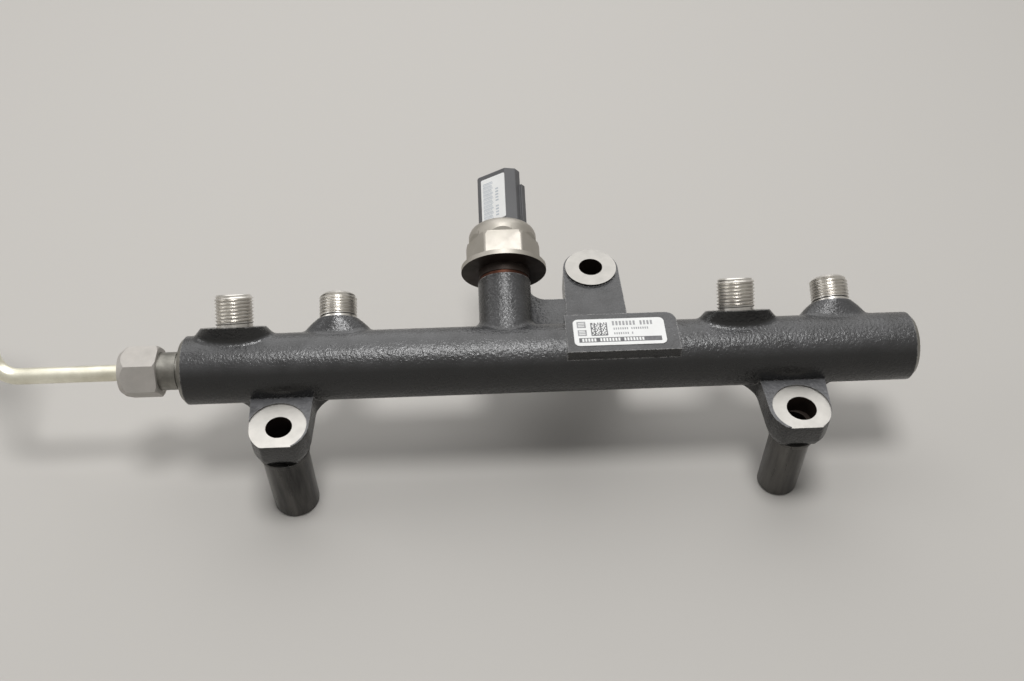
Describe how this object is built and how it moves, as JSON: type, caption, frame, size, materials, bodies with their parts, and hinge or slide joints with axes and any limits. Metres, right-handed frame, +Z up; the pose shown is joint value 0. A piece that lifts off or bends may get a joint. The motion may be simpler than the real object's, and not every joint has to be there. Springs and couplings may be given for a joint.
{
  "type": "fuel rail",
  "caption": "High-pressure fuel rail: black forged tube with threaded injector outlets, a feed pipe on a union nut, a pressure sensor and bolted lugs on spacer sleeves.",
  "frame": {"origin": "midway between the two front bolt axes, on the plane of the three sleeve feet", "axes": "+X along the rail from the inlet to the plugged end, +Y to the rear, +Z up along the bolts"},
  "size_m": [0.3579, 0.1095, 0.1002],
  "materials": {
    "black_paint": "satin black paint over a rough forging, bare steel on machined seats and threads",
    "bare_steel": "machined",
    "dark_steel": "dark phosphate",
    "zinc_pipe": "yellowish zinc plate",
    "zinc_nut": "matte zinc plate",
    "copper": "bare copper",
    "sensor_steel": "bright nickel plate",
    "board": "solder mask",
    "contact_metal": "tinned",
    "connector_plastic": "moulded",
    "seal_rubber": "smooth",
    "label_paper": "printed white film"
  },
  "bodies": {
    "rail": {"rail_body": "black_paint", "end_plug": "bare_steel", "sleeve_front_left": "dark_steel", "sleeve_front_right": "dark_steel", "sleeve_rear": "dark_steel", "feed_pipe": "zinc_pipe", "union_nut_rail": "zinc_nut", "sensor_seal_washer": "copper", "sensor_port": "sensor_steel", "sensor_housing": "sensor_steel", "pressure_cell": "bare_steel", "circuit_board": "board", "contact_spring_1": "contact_metal", "contact_spring_2": "contact_metal", "contact_spring_3": "contact_metal", "terminal_1": "contact_metal", "terminal_2": "contact_metal", "terminal_3": "contact_metal", "connector_body": "connector_plastic", "connector_o_ring": "seal_rubber", "rail_label": "label_paper", "sensor_label": "label_paper"},
    "pump_nut": {"union_nut_pump": "zinc_nut"}
  },
  "joints": [
    {"name": "pump_nut_slide", "type": "slide", "parent": "rail", "child": "pump_nut", "axis": [-0.6428, 0.461, 0.6118], "range_m": [0, 0.02157]}
  ]
}
